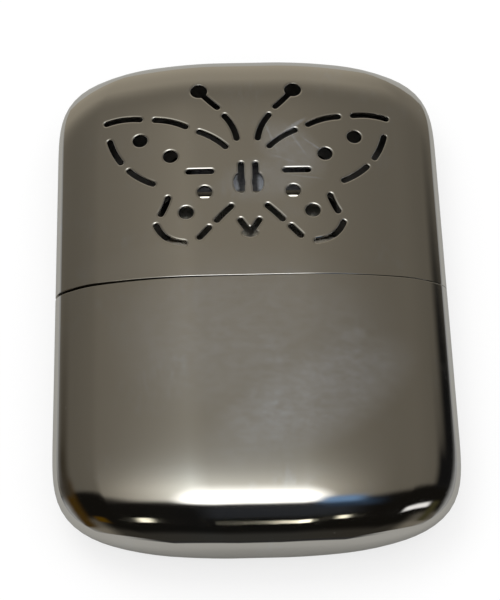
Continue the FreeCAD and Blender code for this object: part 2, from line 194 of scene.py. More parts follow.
class Shader:
    """A node tree whose nodes are all made here."""

    def __init__(self, tree):
        self.tree = tree
        tree.nodes.clear()

    def node(self, kind, settings=None, inputs=None, output=0):
        """Return an output of a new node."""
        made = self.tree.nodes.new(kind)
        for name, value in (settings or {}).items():
            setattr(made, name, value)
        for name, value in (inputs or {}).items():
            if isinstance(value, Socket):
                self.tree.links.new(value.socket, made.inputs[name])
            else:
                made.inputs[name].default_value = value
        return Socket(self, made.outputs[output]) if made.outputs else None

    def outputs(self, names, *new):
        """Return the named outputs of one new node."""
        made = self.node(*new).socket.node
        return [Socket(self, made.outputs[name]) for name in names]

    def axes(self, names, coordinate="Object"):
        """Return the named axes of a texture coordinate."""
        place = self.node("ShaderNodeTexCoord", output=coordinate)
        return self.outputs(names, "ShaderNodeSeparateXYZ", {}, {"Vector": place})

    def maths(self, operation, *values):
        """Return a sum of sockets and numbers."""
        return self.node("ShaderNodeMath", {"operation": operation}, dict(enumerate(values)))

    def mix(self, share, *tones):
        """Return a colour between two colours."""
        first, second = (tone if isinstance(tone, Socket) else (*tone, 1.0) for tone in tones)
        return self.node("ShaderNodeMix", {"data_type": "RGBA"},
                         {MIX_SHARE: share, MIX_FIRST: first, MIX_SECOND: second}, MIX_RESULT)

    def noise(self, scale, detail=4.0, roughness=0.55, stretch=None):
        """Return noise over the object; scale is in waves per metre."""
        place = self.node("ShaderNodeTexCoord", output="Object")
        if stretch:
            place = self.node("ShaderNodeMapping", {}, {"Vector": place, "Scale": stretch})
        return self.node("ShaderNodeTexNoise", {}, {"Vector": place, "Scale": scale, "Detail": detail,
                                                    "Roughness": roughness})


# ---- the case's drawn form, in millimetres about the middle of its thickness
SECTION_STEPS = (3, 14, 6, 9)  # along the flat strip, the face, the shoulder and the edge
ROW_SPACING = 3.2  # between rows where the section is whole
END_ROWS = 30  # rows in which an end draws in, evenly spaced along its curve
TRACK_STEPS = 4000  # steps that the curve's length is measured in


class CaseForm:
    """The drawn form of the case: its section, and how the section shrinks at a closed end."""

    def __init__(self, sizes):
        self.half_width, self.half_long = sizes.width / MM / 2, sizes.long / MM / 2
        self.middle, self.flat = sizes.thick / MM / 2, sizes.flat / MM
        self.seam_y = self.half_long - sizes.lid_long / MM
        self.wall, self.gap, self.rim = sizes.wall / MM, sizes.seam / MM, sizes.rim / MM
        self.slack = sizes.slack / MM
        self.end = sizes.end / MM
        self.start = self.half_long - self.end
        self.start_power, self.corner_power = sizes.start_power, sizes.corner_power
        face, shoulder, edge = sizes.face_slope, sizes.shoulder_slope, sizes.edge / MM
        # The arcs of the face and the shoulder span what the flat strip and the edge leave.
        across = self.half_width - self.flat - edge * (1 - math.sin(shoulder))
        down = self.middle - edge * math.cos(shoulder)
        face_across, face_down = math.sin(face), 1 - math.cos(face)
        rest_across, rest_down = math.sin(shoulder) - math.sin(face), math.cos(face) - math.cos(shoulder)
        share = face_across * rest_down - rest_across * face_down
        radii = ((across * rest_down - rest_across * down) / share,
                 (face_across * down - across * face_down) / share, edge)
        angles = (0.0, face, shoulder, QUARTER)
        centre, self.arcs = Vector((self.flat, self.middle - radii[0])), []
        for index, radius in enumerate(radii):
            if index:
                step = radii[index - 1] - radius
                centre = centre + Vector((step * math.sin(angles[index]), step * math.cos(angles[index])))
            self.arcs.append((centre, radius, angles[index], angles[index + 1]))

    def quarter(self):
        """Return (place, slope) round the front right quarter, from the middle to the side."""
        flat_steps, *arc_steps = SECTION_STEPS
        found = [(Vector((self.flat * step / flat_steps, self.middle)), 0.0) for step in range(flat_steps)]
        for (centre, radius, first, last), count in zip(self.arcs, arc_steps):
            for step in range(count):
                angle = first + (last - first) * step / count
                found.append((centre + radius * Vector((math.sin(angle), math.cos(angle))), angle))
        return found

    def section(self):
        """Return (place, outward direction) all round, from the middle of the front towards +X."""
        right = self.quarter()
        side = (Vector((self.half_width, 0.0)), QUARTER)
        half = right + [side]
        half += [(Vector((place.x, -place.y)), math.pi - slope) for place, slope in right[:0:-1]]
        back = (Vector((0.0, -self.middle)), math.pi)
        whole = half + [back] + [(Vector((-place.x, place.y)), -slope) for place, slope in half[:0:-1]]
        return [(place, Vector((math.sin(slope), math.cos(slope)))) for place, slope in whole]

    def front(self, x):
        """Return (place, outward direction) of the front's section at x."""
        if abs(x) <= self.flat:
            return Vector((x, self.middle)), Vector((0.0, 1.0))
        for centre, radius, _, last in self.arcs:
            lean = (abs(x) - centre.x) / radius
            if lean <= math.sin(last):
                out = Vector((math.copysign(lean, x), math.sqrt(1 - lean * lean)))
                return Vector((x, centre.y + radius * out.y)), out
        raise ValueError("x is past the shoulder")

    def along(self, y):
        """Return how far into its end a place is, from 0 to 1."""
        return max(0.0, (abs(y) - self.start) / self.end)

    def share(self, y):
        """Return how much of the whole section is left at y."""
        return max(0.0, 1 - self.along(y) ** self.start_power) ** (1 / self.corner_power)

    def rows(self, side):
        """Return the places along Y from the rim to the closed end."""
        first = self.seam_y + side * self.gap / 2 + side * self.rim
        run = side * self.start - first
        count = max(2, round(abs(run) / ROW_SPACING))
        places = [first + run * step / count for step in range(count)]
        track = [(0.0, 0.0, 1.0)]
        for step in range(1, TRACK_STEPS + 1):
            angle = QUARTER * step / TRACK_STEPS
            travelled, along_before, left_before = track[-1]
            along = math.sin(angle) ** (2 / self.start_power)
            left = math.cos(angle) ** (2 / self.corner_power)
            travelled += math.hypot((along - along_before) * self.end, (left - left_before) * self.half_width)
            track.append((travelled, along, left))
        wanted = 0
        for index in range(END_ROWS):
            while track[wanted][0] < travelled * index / END_ROWS:
                wanted += 1
            places.append(side * (self.start + self.end * track[wanted][1]))
        return places

    def skin(self, place, out, y, depth):
        """Return (point, outward direction) on the form, or depth below it."""
        share = self.share(y)
        lean = self.corner_power * share ** (self.corner_power - 1) / place.dot(out)
        draw = self.start_power / self.end * self.along(y) ** (self.start_power - 1)
        normal = Vector((lean * out.x, math.copysign(draw, y), lean * out.y)).normalized()
        point = Vector((place.x * share, y, self.middle + place.y * share))
        return point - normal * depth, normal


class Sheet:
    """A mesh whose corners are given with the direction each face is shaded by there."""

    def __init__(self):
        self.points, self.faces, self.shading, self.finish = [], [], [], []
        self.coat = 0  # which of the piece's materials the next faces get

    def point(self, place):
        self.points.append(place)
        return len(self.points) - 1

    def face(self, ring):
        """Add a face round (corner, direction) pairs, turned so that it looks the way it is shaded."""
        places = [self.points[corner] for corner, _ in ring]
        flat = (places[1] - places[0]).cross(places[-1] - places[0])
        if len(places) == 4:
            flat = (places[2] - places[0]).cross(places[3] - places[1])
        if flat.dot(sum((way for _, way in ring), Vector())) < 0:
            ring = ring[::-1]
        self.faces.append([corner for corner, _ in ring])
        self.finish.append(self.coat)
        self.shading += [way for _, way in ring]

    def band(self, first, second, columns=None):
        """Add faces between two closed rows of (corner, direction), in all columns or only in some."""
        count = len(first)
        for index in range(count) if columns is None else columns:
            after = (index + 1) % count
            self.face([first[index], first[after], second[after], second[index]])

    def made(self, name):
        """Return the piece made of this sheet."""
        mesh = bpy.data.meshes.new(name)
        mesh.from_pydata([place * MM for place in self.points], [], self.faces)
        mesh.shade_smooth()
        mesh.polygons.foreach_set("material_index", self.finish)
        mesh.normals_split_custom_set([direction.normalized() for direction in self.shading])
        return new_object(mesh)


def new_object(data, place=Matrix()):
    """Return a new object of the scene with this data, under the data's name."""
    made = bpy.data.objects.new(data.name, data)
    made.matrix_world = place
    bpy.context.scene.collection.objects.link(made)
    return made


# ---- vents
SPINE_STEP = 0.5  # length of a step along a slot
SLOT_END_STEPS = 11
ROUND_STEPS = 34


def slot_outline(start, end, bow, radius):
    """Return the outline of a slot with round ends, bowed like a punched arc."""
    start, end = Vector(start), Vector(end)
    run = end - start
    left = Vector((-run.y, run.x)).normalized()
    count = max(2, round(run.length / SPINE_STEP))
    spine = [start + run * step / count + left * bow * (1 - (2 * step / count - 1) ** 2)
             for step in range(count + 1)]
    slopes = [(spine[min(i + 1, count)] - spine[max(i - 1, 0)]).normalized() for i in range(count + 1)]
    turns = [math.pi * step / SLOT_END_STEPS for step in range(1, SLOT_END_STEPS)]
    outline = []
    for way in (1, -1):
        for place, slope in list(zip(spine, slopes))[::way]:
            side = Vector((-slope.y, slope.x)) * way
            outline.append(place - side * radius)
        outline += [place + radius * (slope * way * math.sin(turn) - side * math.cos(turn)) for turn in turns]
    return outline


def round_outline(centre, half_sizes):
    """Return the outline of a round or oval hole."""
    turns = (TURN * step / ROUND_STEPS for step in range(ROUND_STEPS))
    return [Vector((centre[0] + half_sizes[0] * math.cos(turn), centre[1] + half_sizes[1] * math.sin(turn)))
            for turn in turns]


def vent_outlines(sizes, seam_y):
    """Return the outlines of all vents on both wings, grown by the lip."""
    lip, slot, dot, spot = (value / MM for value in (sizes.lip, sizes.slot, sizes.dot, sizes.spot))
    right = [slot_outline(start, end, bow, slot / 2 + lip) for start, end, bow in SLOTS]
    right += [round_outline(place, [spot / 2 + lip] * 2) for place in SPOTS]
    right.append(round_outline(ANTENNA_DOT, [dot / 2 + lip] * 2))
    right.append(round_outline(BODY_BULGE[0], [half + lip for half in BODY_BULGE[1]]))
    left = [[Vector((-place.x, place.y)) for place in reversed(outline)] for outline in right]
    tail = round_outline(TAIL_BASE[0], [half + lip for half in TAIL_BASE[1]])
    return [[place + Vector((0, seam_y)) for place in outline] for outline in right + left + [tail]]


def inside(place, outline):
    """Return whether a place is inside a closed outline."""
    found, before = False, outline[-1]
    for after in outline:
        if (after.y > place.y) != (before.y > place.y):
            if place.x < after.x + (before.x - after.x) * (place.y - after.y) / (before.y - after.y):
                found = not found
        before = after
    return found


class Vents:
    """The outlines of the vents, with what lies in or near them."""

    def __init__(self, outlines):
        self.outlines = outlines
        self.reach = []
        for outline in outlines:
            across, along = zip(*outline)
            self.reach.append((min(across), max(across), min(along), max(along)))

    def hold(self, place, near=0.0):
        """Return whether a place is in a vent, or within near of its edge."""
        for outline, (left, right, low, high) in zip(self.outlines, self.reach):
            if left - near < place.x < right + near and low - near < place.y < high + near:
                if inside(place, outline) or min((place - corner).length for corner in outline) < near:
                    return True
        return False


def edge_loops(triangles, keep_out):
    """Return the closed loops of corners round the holes among triangles, without the patch's own edge."""
    borders = {}
    for triangle in triangles:
        for index in range(3):
            first, second = triangle[index - 1], triangle[index]
            if borders.pop((second, first), None) is None:
                borders[(first, second)] = True
    after = {first: second for first, second in borders if not (first in keep_out and second in keep_out)}
    loops = []
    while after:
        start, here = after.popitem()
        loop = [start]
        while here != start:
            loop.append(here)
            here = after.pop(here)
        loops.append(loop)
    return loops


# ---- drawn shells
# The polishing mop dubs every cut edge over: (share of the dubbed width, slope there in degrees).
DUBBED = ((0.0, 0.0), (0.24, 8.0), (0.74, 14.0), (0.9, 38.0), (1.0, 62.0))
CLEAR_OF_VENT = 0.40  # mesh corners keep this far from a vent's edge
PATCH_MARGIN = 1.0  # from the outermost vents to the edge of the patch that carries them
GAPE_REACH = 1.2  # how far back from the rim the seam's gape fades out
GAPE_START = 18.0  # the seam starts to gape at this x, towards the left side
LEAST_MITRE = 0.7  # the least that the way in from a corner of a vent's edge is divided by


def dubbed(width):
    """Return (reach, depth, slope) across a dubbed edge of this width."""
    found, depth, before = [], 0.0, (0.0, 0.0)
    for share, degrees in DUBBED:
        slope = math.radians(degrees)
        depth += (share - before[0]) * width * math.tan((slope + before[1]) / 2)
        before = (share, slope)
        found.append((share * width, depth, slope))
    return found


class DrawnShell:
    """One half of the case: a smooth skin inside and out, with a rounded rim and maybe vents.

    side is 1 for the lid and -1 for the tank."""

    def __init__(self, form, side, vents=None, lip=0.0):
        self.form, self.side, self.vents, self.lip = form, side, vents, lip
        self.sheet = Sheet()
        self.ring = form.section()
        self.rows = form.rows(side)
        self.outer = [self.row(y, 0.0, 1) for y in self.rows]
        self.inner = [self.row(y, form.wall, -1) for y in self.rows]
        self.patch = self.vent_patch() if vents else (0, 0, 0)
        reach, low, high = self.patch
        beside = range(reach, len(self.ring) - reach)
        for coat, rows in enumerate((self.outer, self.inner)):
            self.sheet.coat = coat
            for index in range(len(self.rows) - 1):
                self.sheet.band(rows[index], rows[index + 1], beside if low <= index < high else None)
        self.tip()
        self.open_rim()
        self.gape()
        if vents:
            self.punch()

    def row(self, y, depth, way):
        """Return a row of (corner, direction) round the section at y."""
        found = []
        for place, out in self.ring:
            point, normal = self.form.skin(place, out, y, depth)
            found.append((self.sheet.point(point), normal * way))
        return found

    def tip(self):
        """Close both skins at the end."""
        for coat, (rows, depth) in enumerate(((self.outer, 0.0), (self.inner, self.form.wall))):
            self.sheet.coat = coat
            centre = Vector((0, self.side * (self.form.half_long - depth), self.form.middle))
            tip = (self.sheet.point(centre), Vector((0, -self.side if coat else self.side, 0)))
            last = rows[-1]
            for column in range(len(last)):
                self.sheet.face([last[column - 1], last[column], tip])

    def open_rim(self):
        """Join the skins round the open end with a rounded edge."""
        form, along = self.form, Vector((0, self.side, 0))
        rim_y = form.seam_y + self.side * form.gap / 2
        before, self.sheet.coat = self.outer[0], 0
        for reach, depth, turn in dubbed(form.rim)[1:]:
            ring = self.row(rim_y + self.side * (form.rim - reach), depth, 1)
            ring = [(corner, normal * math.cos(turn) - along * math.sin(turn)) for corner, normal in ring]
            self.sheet.band(before, ring)
            before = ring
        edge = self.row(rim_y, form.wall, -1)
        self.sheet.band(*([(corner, -along) for corner, _ in ring] for ring in (before, edge)))
        self.sheet.band(edge, self.inner[0])

    def gape(self):
        """Draw the tank's rim back a little towards the left side, as it was trimmed by hand."""
        form = self.form
        if self.side > 0:
            return
        for place in self.sheet.points:
            near = 1.0 - (form.seam_y - form.gap / 2 - place.y) / GAPE_REACH
            if near > 0:
                across = max(0.0, (GAPE_START - place.x) / (GAPE_START + form.half_width))
                place.y -= form.slack * near * across * across

    def vent_patch(self):
        """Return how far the patch that carries the vents reaches, in columns and rows."""
        places = [place for outline in self.vents.outlines for place in outline]
        wide = max(abs(place.x) / self.form.share(place.y) for place in places) + PATCH_MARGIN
        low = min(place.y for place in places) - PATCH_MARGIN
        high = max(place.y for place in places) + PATCH_MARGIN
        reach = next(i for i, (place, _) in enumerate(self.ring) if place.x >= wide)
        first = max(i for i, y in enumerate(self.rows) if y <= low)
        last = min(i for i, y in enumerate(self.rows) if y >= high)
        return reach, first, last

    def drawn_in(self, place):
        """Return a place of the whole section where the form has it, drawn in at the end."""
        return Vector((place.x * self.form.share(place.y), place.y))

    def punch(self):
        """Fill the patch with faces that leave the vents open, and roll their edges in."""
        reach, low, high = self.patch
        places, source, edges = [], [], []
        for row in range(low, high + 1):
            for column in range(-reach, reach + 1):
                on_rim = row in (low, high) or abs(column) == reach
                place = Vector((self.ring[column][0].x, self.rows[row]))
                if on_rim or not self.vents.hold(self.drawn_in(place), CLEAR_OF_VENT):
                    places.append(place)
                    source.append((row, column % len(self.ring), on_rim))
        for outline in self.vents.outlines:
            first = len(places)
            places += [Vector((place.x / self.form.share(place.y), place.y)) for place in outline]
            edges += [(first + i, first + (i + 1) % len(outline)) for i in range(len(outline))]
        spots, _, triangles, came_from, _, _ = delaunay_2d_cdt(places, edges, [], 0, 1e-5)
        grid = {index: source[one] for index, origin in enumerate(came_from) for one in origin
                if one < len(source)}
        kept = [tuple(triangle) for triangle in triangles if not self.vents.hold(
            self.drawn_in(sum((spots[corner] for corner in triangle), Vector((0, 0))) / 3))]
        outer, inner = ({index: rows[row][column] for index, (row, column, _) in grid.items()}
                        for rows in (self.outer, self.inner))
        for loop in edge_loops(kept, {index for index, (_, _, on_rim) in grid.items() if on_rim}):
            self.roll_edge([self.drawn_in(spots[index]) for index in loop], loop, outer, inner)
        for coat, skin in enumerate((outer, inner)):
            self.sheet.coat = coat
            for triangle in kept:
                self.sheet.face([skin[corner] for corner in triangle])

    def edge_ring(self, places, ways, reach, depth, turn):
        """Return (corner, direction, skin's direction) round a vent's edge, reach in from its outline."""
        ring = []
        for place, way in zip(places, ways):
            at = place + way * reach
            spot, out = self.form.front(at.x / self.form.share(at.y))
            point, normal = self.form.skin(spot, out, at.y, depth)
            into = way.to_3d()
            into = (into - normal * into.dot(normal)).normalized()
            ring.append((self.sheet.point(point), normal * math.cos(turn) + into * math.sin(turn), normal))
        return ring

    def roll_edge(self, places, loop, outer, inner):
        """Build a vent's rolled edge and its wall; note the corners that the skins join on to."""
        count, ways = len(places), []
        for index in range(count):
            steps = (places[index] - places[index - 1], places[(index + 1) % count] - places[index])
            turns = [Vector((step.y, -step.x)).normalized() for step in steps]
            way = (turns[0] + turns[1]).normalized()
            ways.append(way / max(LEAST_MITRE, way.dot(turns[0])))
        rings = [self.edge_ring(places, ways, *step) for step in dubbed(self.lip)]
        foot = self.edge_ring(places, ways, self.lip, self.form.wall, QUARTER)
        for first, second in zip(rings[:-1], rings[1:]):
            self.sheet.band([part[:2] for part in first], [part[:2] for part in second])
        self.sheet.band([(top[0], bottom[1]) for top, bottom in zip(rings[-1], foot)],
                        [part[:2] for part in foot])
        for index, top, bottom in zip(loop, rings[0], foot):
            outer[index] = (top[0], top[2])
            inner[index] = (bottom[0], -bottom[2])


# ---- materials
def scaled(tone, share):
    """Return a colour made lighter or darker."""
    return tuple(min(1.0, part * share) for part in tone)


def new_material(name):
    """Return a new material and its shader."""
    material = bpy.data.materials.new(name)
    material.use_nodes = True
    return material, Shader(material.node_tree)


def made_material(name, colour_of, roughness_of, height_of, depth, metallic_of=None, sockets=None):
    """Return a material from functions that take its shader and return a linked value.

    depth is the height of the bump in metres, and sockets are set as they are."""
    material, shader = new_material(name)
    inputs = {"Base Color": colour_of(shader), "Roughness": roughness_of(shader)}
    if metallic_of:
        inputs["Metallic"] = metallic_of(shader)
    inputs["Normal"] = shader.node("ShaderNodeBump", {}, {"Height": height_of(shader), "Distance": depth,
                                                          "Strength": 1.0})
    inputs.update(sockets or {})
    surface = shader.node("ShaderNodeBsdfPrincipled", {}, inputs)
    shader.node("ShaderNodeOutputMaterial", {}, {"Surface": surface})
    return material


# Hazy places and thin scuffs on the plating: x and y of the middle, half length and half width in mm,
# turn in degrees, strength.
HAZE = (
    (0.0, -11.0, 24.0, 17.0, 0.0, 0.42), (9.0, -23.5, 20.0, 9.5, 32.0, 0.72),
    (16.5, -12.0, 3.5, 2.2, 20.0, 0.5), (7.5, 26.0, 8.0, 5.0, -50.0, 0.55),
    (3.5, 20.0, 9.0, 5.0, 10.0, 0.40), (-16.0, 3.5, 13.0, 4.0, 5.0, 0.10),
)
SCUFFS = (
    (4.3, 28.5, 4.2, 0.30, -72.0, 1.0), (8.6, 27.8, 5.0, 0.32, -62.0, 1.0),
    (11.5, 27.0, 3.6, 0.25, -40.0, 0.9), (6.5, 24.0, 4.5, 0.30, -24.0, 0.9),
    (8.2, 31.2, 3.0, 0.5, 36.0, 1.0), (10.0, 20.2, 3.5, 0.25, -8.0, 0.8),
)
HAZE_TONE = (0.65, 0.68, 0.75)
FACE_LOW, FACE_HIGH = 6.5, 7.5  # the haze lies on the face and fades out between these heights


def polished_plate(name, tone, roughness=0.07, smear=0.08):
    """Return bright plating with handling smears, hairlines and the faint waves of drawn sheet."""
    @cache
    def haze(shader):
        x, y, z = (axis / MM for axis in shader.axes("XYZ"))
        whole = None
        for middle_x, middle_y, half_long, half_wide, turn, strength in HAZE + SCUFFS:
            cosine, sine = math.cos(math.radians(turn)), math.sin(math.radians(turn))
            along = ((x - middle_x) * cosine + (y - middle_y) * sine) / half_long
            beside = ((y - middle_y) * cosine - (x - middle_x) * sine) / half_wide
            spot = (along * along + beside * beside).step(1.25, 0.0) * strength
            whole = spot if whole is None else whole.maths("MAXIMUM", spot)
        patchy = shader.noise(120.0, 5.0, 0.7).step(0.25, 0.75)
        wiped = shader.noise(700.0, 4.0, 0.7, (0.6, 1.0, 1.0)).step(0.30, 0.72)
        broken = whole * (patchy * 0.4 + 0.6) * (wiped * 0.45 + 0.55)
        return broken * z.step(FACE_LOW, FACE_HIGH)

    def smears(shader):
        broad = shader.noise(95.0, 3.0, 0.6).step(0.50, 0.72)
        fine = shader.noise(900.0, 4.0, 0.65, (1.0, 0.35, 1.0)).step(0.35, 0.75)
        return broad * fine

    def specks(shader):
        return shader.noise(2300.0, 1.0, 0.5).step(0.80, 0.84)

    def hairlines(shader):
        across = shader.noise(5200.0, 2.0, 0.5, (0.03, 1.0, 1.0)).step(0.66, 0.74)
        along = shader.noise(4700.0, 2.0, 0.5, (1.0, 0.025, 1.0)).step(0.68, 0.75)
        return across + along

    def colour_of(shader):
        dulled = (smears(shader) * 0.4 + haze(shader)).maths("MINIMUM", 1.0)
        return shader.mix(hairlines(shader) * 0.10, shader.mix(dulled, tone, HAZE_TONE), scaled(tone, 0.7))

    def roughness_of(shader):
        return smears(shader) * smear + haze(shader) * 0.10 + hairlines(shader) * 0.05 + roughness

    def metallic_of(shader):
        return 1.0 - haze(shader) * 0.15 - specks(shader) * 0.25

    def height_of(shader):
        return shader.noise(85.0, 2.0, 0.4) + shader.noise(2600.0, 2.0, 0.5) * 0.004

    return made_material(name, colour_of, roughness_of, height_of, 0.00002, metallic_of)


# The colour of painted shade in the gap of a seam.
SEAM_SHADE_TONE = (0.02, 0.018, 0.015)


def satin_metal(name, tone, stretch, roughness=0.24, metallic=1.0, seam_shade=None):
    """Return rolled sheet metal with a fine grain; its last argument puts a line of painted shade along Y."""
    def grain(shader):
        return shader.noise(6500.0, 3.0, 0.6, stretch)

    def colour_of(shader):
        dull = shader.mix(grain(shader).step(0.3, 0.7) * 0.35, tone, scaled(tone, 0.72))
        blotched = shader.mix(shader.noise(110.0, 3.0).step(0.50, 0.75) * 0.20, dull, scaled(tone, 0.6))
        if not seam_shade:
            return blotched
        # A line of painted shade along Y, in the gap under the seam.
        y, = shader.axes("Y")
        return shader.mix((y / MM).between(*seam_shade, 0.1) * 0.95, blotched, SEAM_SHADE_TONE)

    def roughness_of(shader):
        return grain(shader) * roughness + shader.noise(160.0, 3.0) * (roughness * 0.6) + roughness * 0.4

    return made_material(name, colour_of, roughness_of, grain, 0.000004, sockets={"Metallic": metallic})


def loose_fibre(name, tone, shade, light_patch):
    """Return matted fibre: short strands, darker between them, and a pale patch of painted light where one is
    given.
    """
    def strands(shader):
        one = shader.noise(1500.0, 4.0, 0.6, (1.0, 0.22, 1.0))
        two = shader.noise(1800.0, 4.0, 0.6, (0.25, 1.0, 0.6))
        return one * 0.5 + two * 0.5

    def colour_of(shader):
        fibre = shader.mix(strands(shader).step(0.34, 0.62), shade, tone)
        if not light_patch:
            return fibre
        x, y = (axis / MM for axis in shader.axes("XY"))
        # A pale patch of painted light, where light through the vents falls on the mat.
        across, along, pale = light_patch
        ragged = shader.noise(500.0, 3.0) * 1.2 - 0.6
        light_pool = (x.maths("ABSOLUTE") + ragged).between(*across, 0.3) * (y + ragged).between(*along, 0.5)
        return shader.mix(light_pool, fibre, pale)

    def roughness_of(shader):
        return strands(shader) * 0.1 + 0.85

    return made_material(name, colour_of, roughness_of, strands, 0.0003,
                         sockets={"Metallic": 0.0, "Sheen Weight": 0.3, "Sheen Roughness": 0.5})


# ---- operators
def settings(context):
    """Return the sizes and colours that the panel shows."""
    scene = context.scene
    return scene.warmer_case, scene.warmer_vents, scene.warmer_burner, scene.warmer_finish


def dress(node, material):
    """Give a node of the frame a material."""
    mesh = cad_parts[node].data
    mesh.materials.clear()
    mesh.materials.append(material)


def place_piece(piece, body, slot, materials, *nodes):
    """Give a new piece its materials, its body and the nodes that it stands for."""
    for material in materials:
        piece.data.materials.append(material)
    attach(piece, body)
    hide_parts(*nodes)


class CaseOperator(bpy.types.Operator):
    """Build the drawn tank and the lid with its vents"""
    bl_idname = "warmer.case"
    bl_label = "Case"

    def execute(self, context):
        case, vents, _, tones = settings(context)
        form = CaseForm(case)
        coats = (polished_plate("case_chrome", tuple(tones.chrome)),
                 satin_metal("case_inside", scaled(tones.chrome, 0.5), (1.0, 0.3, 1.0), 0.35, 0.7))
        holes = Vents(vent_outlines(vents, form.seam_y))
        lid = DrawnShell(form, 1, holes, vents.lip / MM).sheet.made("drawn_lid")
        place_piece(lid, "lid", "case_chrome", coats, "lid_shell")
        tank = DrawnShell(form, -1).sheet.made("drawn_tank")
        place_piece(tank, "tank", "case_chrome", coats, "tank_shell")
        return {"FINISHED"}


COLLAR_SEAM_SHADE = (-0.7, 0.3)  # along Y, where a line of painted shade darkens the collar in the seam's gap


class CollarOperator(bpy.types.Operator):
    """Finish the tank's deck, its neck and the neck's screen"""
    bl_idname = "warmer.collar"
    bl_label = "Deck and neck"

    def execute(self, context):
        tones = settings(context)[3]
        material = satin_metal("collar_steel", tuple(tones.steel), (0.04, 1.0, 1.0), seam_shade=COLLAR_SEAM_SHADE)
        for node in ("tank_deck", "filler_neck", "neck_screen"):
            dress(node, material)
        return {"FINISHED"}


def oval_ring(half_sizes, turn_steps, straight_steps):
    """Return (x, z, direction) round an oval with straight sides and round ends, about its middle."""
    half_width, radius = half_sizes
    straight, ring = half_width - radius, []
    for side in (1, -1):
        for step in range(turn_steps + 1):
            turn = QUARTER - math.pi * step / turn_steps
            way = Vector((side * math.cos(turn), 0, side * math.sin(turn)))
            ring.append((side * straight + radius * way.x, radius * way.z, way))
        ring += [(side * straight * (1 - 2 * step / straight_steps), -side * radius, Vector((0, 0, -side)))
                 for step in range(1, straight_steps)]
    return ring


SHELL_STEPS = (16, 10)  # round each end of an oval shell and along its straight sides
BLOCK_STEPS = (14, 16)  # the same for an oval block


def oval_shell(half_sizes, middle, profile):
    """Return a sheet turned round an oval from (inset, y, slope towards +Y in degrees, finish) steps."""
    sheet, rows = Sheet(), []
    for inset, y, slope, coat in profile:
        turn, rise = math.radians(slope), Vector((0, math.sin(math.radians(slope)), 0))
        ring = oval_ring([half - inset for half in half_sizes], *SHELL_STEPS)
        row = [(sheet.point(Vector((x, y, middle + z))), way * math.cos(turn) + rise) for x, z, way in ring]
        if rows:
            sheet.coat = coat
            sheet.band(rows[-1], row)
        rows.append(row)
    sheet.coat = profile[0][3]
    ways = [way for _, _, way in oval_ring(half_sizes, *SHELL_STEPS)]
    sheet.band(*([(corner, -way) for (corner, _), way in zip(row, ways)] for row in (rows[-1], rows[0])))
    return sheet


SKIRT_SHEET = 0.4  # thickness
SKIRT_WAIST = 0.11  # how far the outside stands in between the bead and the rolled foot
SKIRT_WINDOW = 1.2  # half the height of the opening in the skirt's top
# Coats of the skirt: the bead's is painted highlight, and the band below it painted shade.
NICKEL, BEAD, INSIDE, SHADED_BAND = range(4)


def skirt_profile(low, high, window):
    """Return the burner skirt's profile, from its top window over the bead and down, and back up inside."""
    waist, sheet = SKIRT_WAIST, SKIRT_SHEET
    steps = (
        (NICKEL, (window, high, 90), (0.50, high, 90), (0.20, high - 0.01, 80), (0.05, high - 0.03, 50),
         (0.0, high - 0.05, -4)),
        (BEAD, (0.01, high - 0.08, -9), (0.06, high - 0.33, -13)),
        (SHADED_BAND, (0.09, high - 0.42, -20), (waist, high - 0.5, 0), (waist, high - 2.2, 0)),
        (NICKEL, (waist, low + 0.5, 0), (0.06, low + 0.34, 12), (0.0, low + 0.14, 0),
         (0.03, low + 0.03, -50), (0.12, low, -90), (sheet - 0.05, low, -90), (sheet, low + 0.05, -135)),
        (INSIDE, (sheet, low + 0.1, 180), (sheet, high - 0.9, 180), (sheet + 0.1, high - 0.58, 205),
         (sheet + 0.4, high - sheet, 270), (window, high - sheet, 270)))
    return [(*step, coat) for coat, *part in steps for step in part]


class BurnerOperator(bpy.types.Operator):
    """Finish the burner's metal parts"""
    bl_idname = "warmer.burner"
    bl_label = "Burner"

    def execute(self, context):
        tones = settings(context)[3]

        def nickel(name, share, roughness, metallic=1.0):
            return satin_metal(name, scaled(tones.nickel, share), (1.0, 0.06, 1.0), roughness, metallic)

        dress("support_grid", nickel("burner_nickel", 1.0, 0.16))
        dress("burner_frame", nickel("cage_nickel", 0.45, 0.2))
        # The bead's nickel is a lighter copy, a painted highlight; the band below it is a near-black copy,
        # painted shade.
        coats = (nickel("skirt_nickel", 0.9, 0.25, 0.93), nickel("bead_highlight_nickel", 1.3, 0.02),
                 nickel("skirt_inside", 0.5, 0.3), nickel("shaded_band_nickel", 0.16, 0.3))
        low, high = (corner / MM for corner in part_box("burner_skirt"))
        half = ((high.x - low.x) / 2, (high.z - low.z) / 2)
        profile = skirt_profile(low.y, high.y, half[1] - SKIRT_WINDOW)
        skirt = oval_shell(half, (low.z + high.z) / 2, profile).made("drawn_skirt")
        place_piece(skirt, "burner", "burner_nickel", coats, "burner_skirt")
        return {"FINISHED"}


def lift(coarse, fine):
    """Return a lift from -1 to 1 out of noise at two places."""
    return noise.noise(coarse) * 0.6 + noise.noise(fine) * 0.4


def soft_piece(rows, name):
    """Return a closed soft piece from rows of places round it, with both ends filled."""
    count = len(rows[0])
    faces = [(row * count + i, row * count + (i + 1) % count, (row + 1) * count + (i + 1) % count,
              (row + 1) * count + i) for row in range(len(rows) - 1) for i in range(count)]
    faces.append(tuple(range(count))[::-1])
    faces.append(tuple((len(rows) - 1) * count + i for i in range(count)))
    mesh = bpy.data.meshes.new(name)
    mesh.from_pydata([place * MM for row in rows for place in row], [], faces)
    mesh.shade_smooth()
    mesh.update()
    return new_object(mesh)


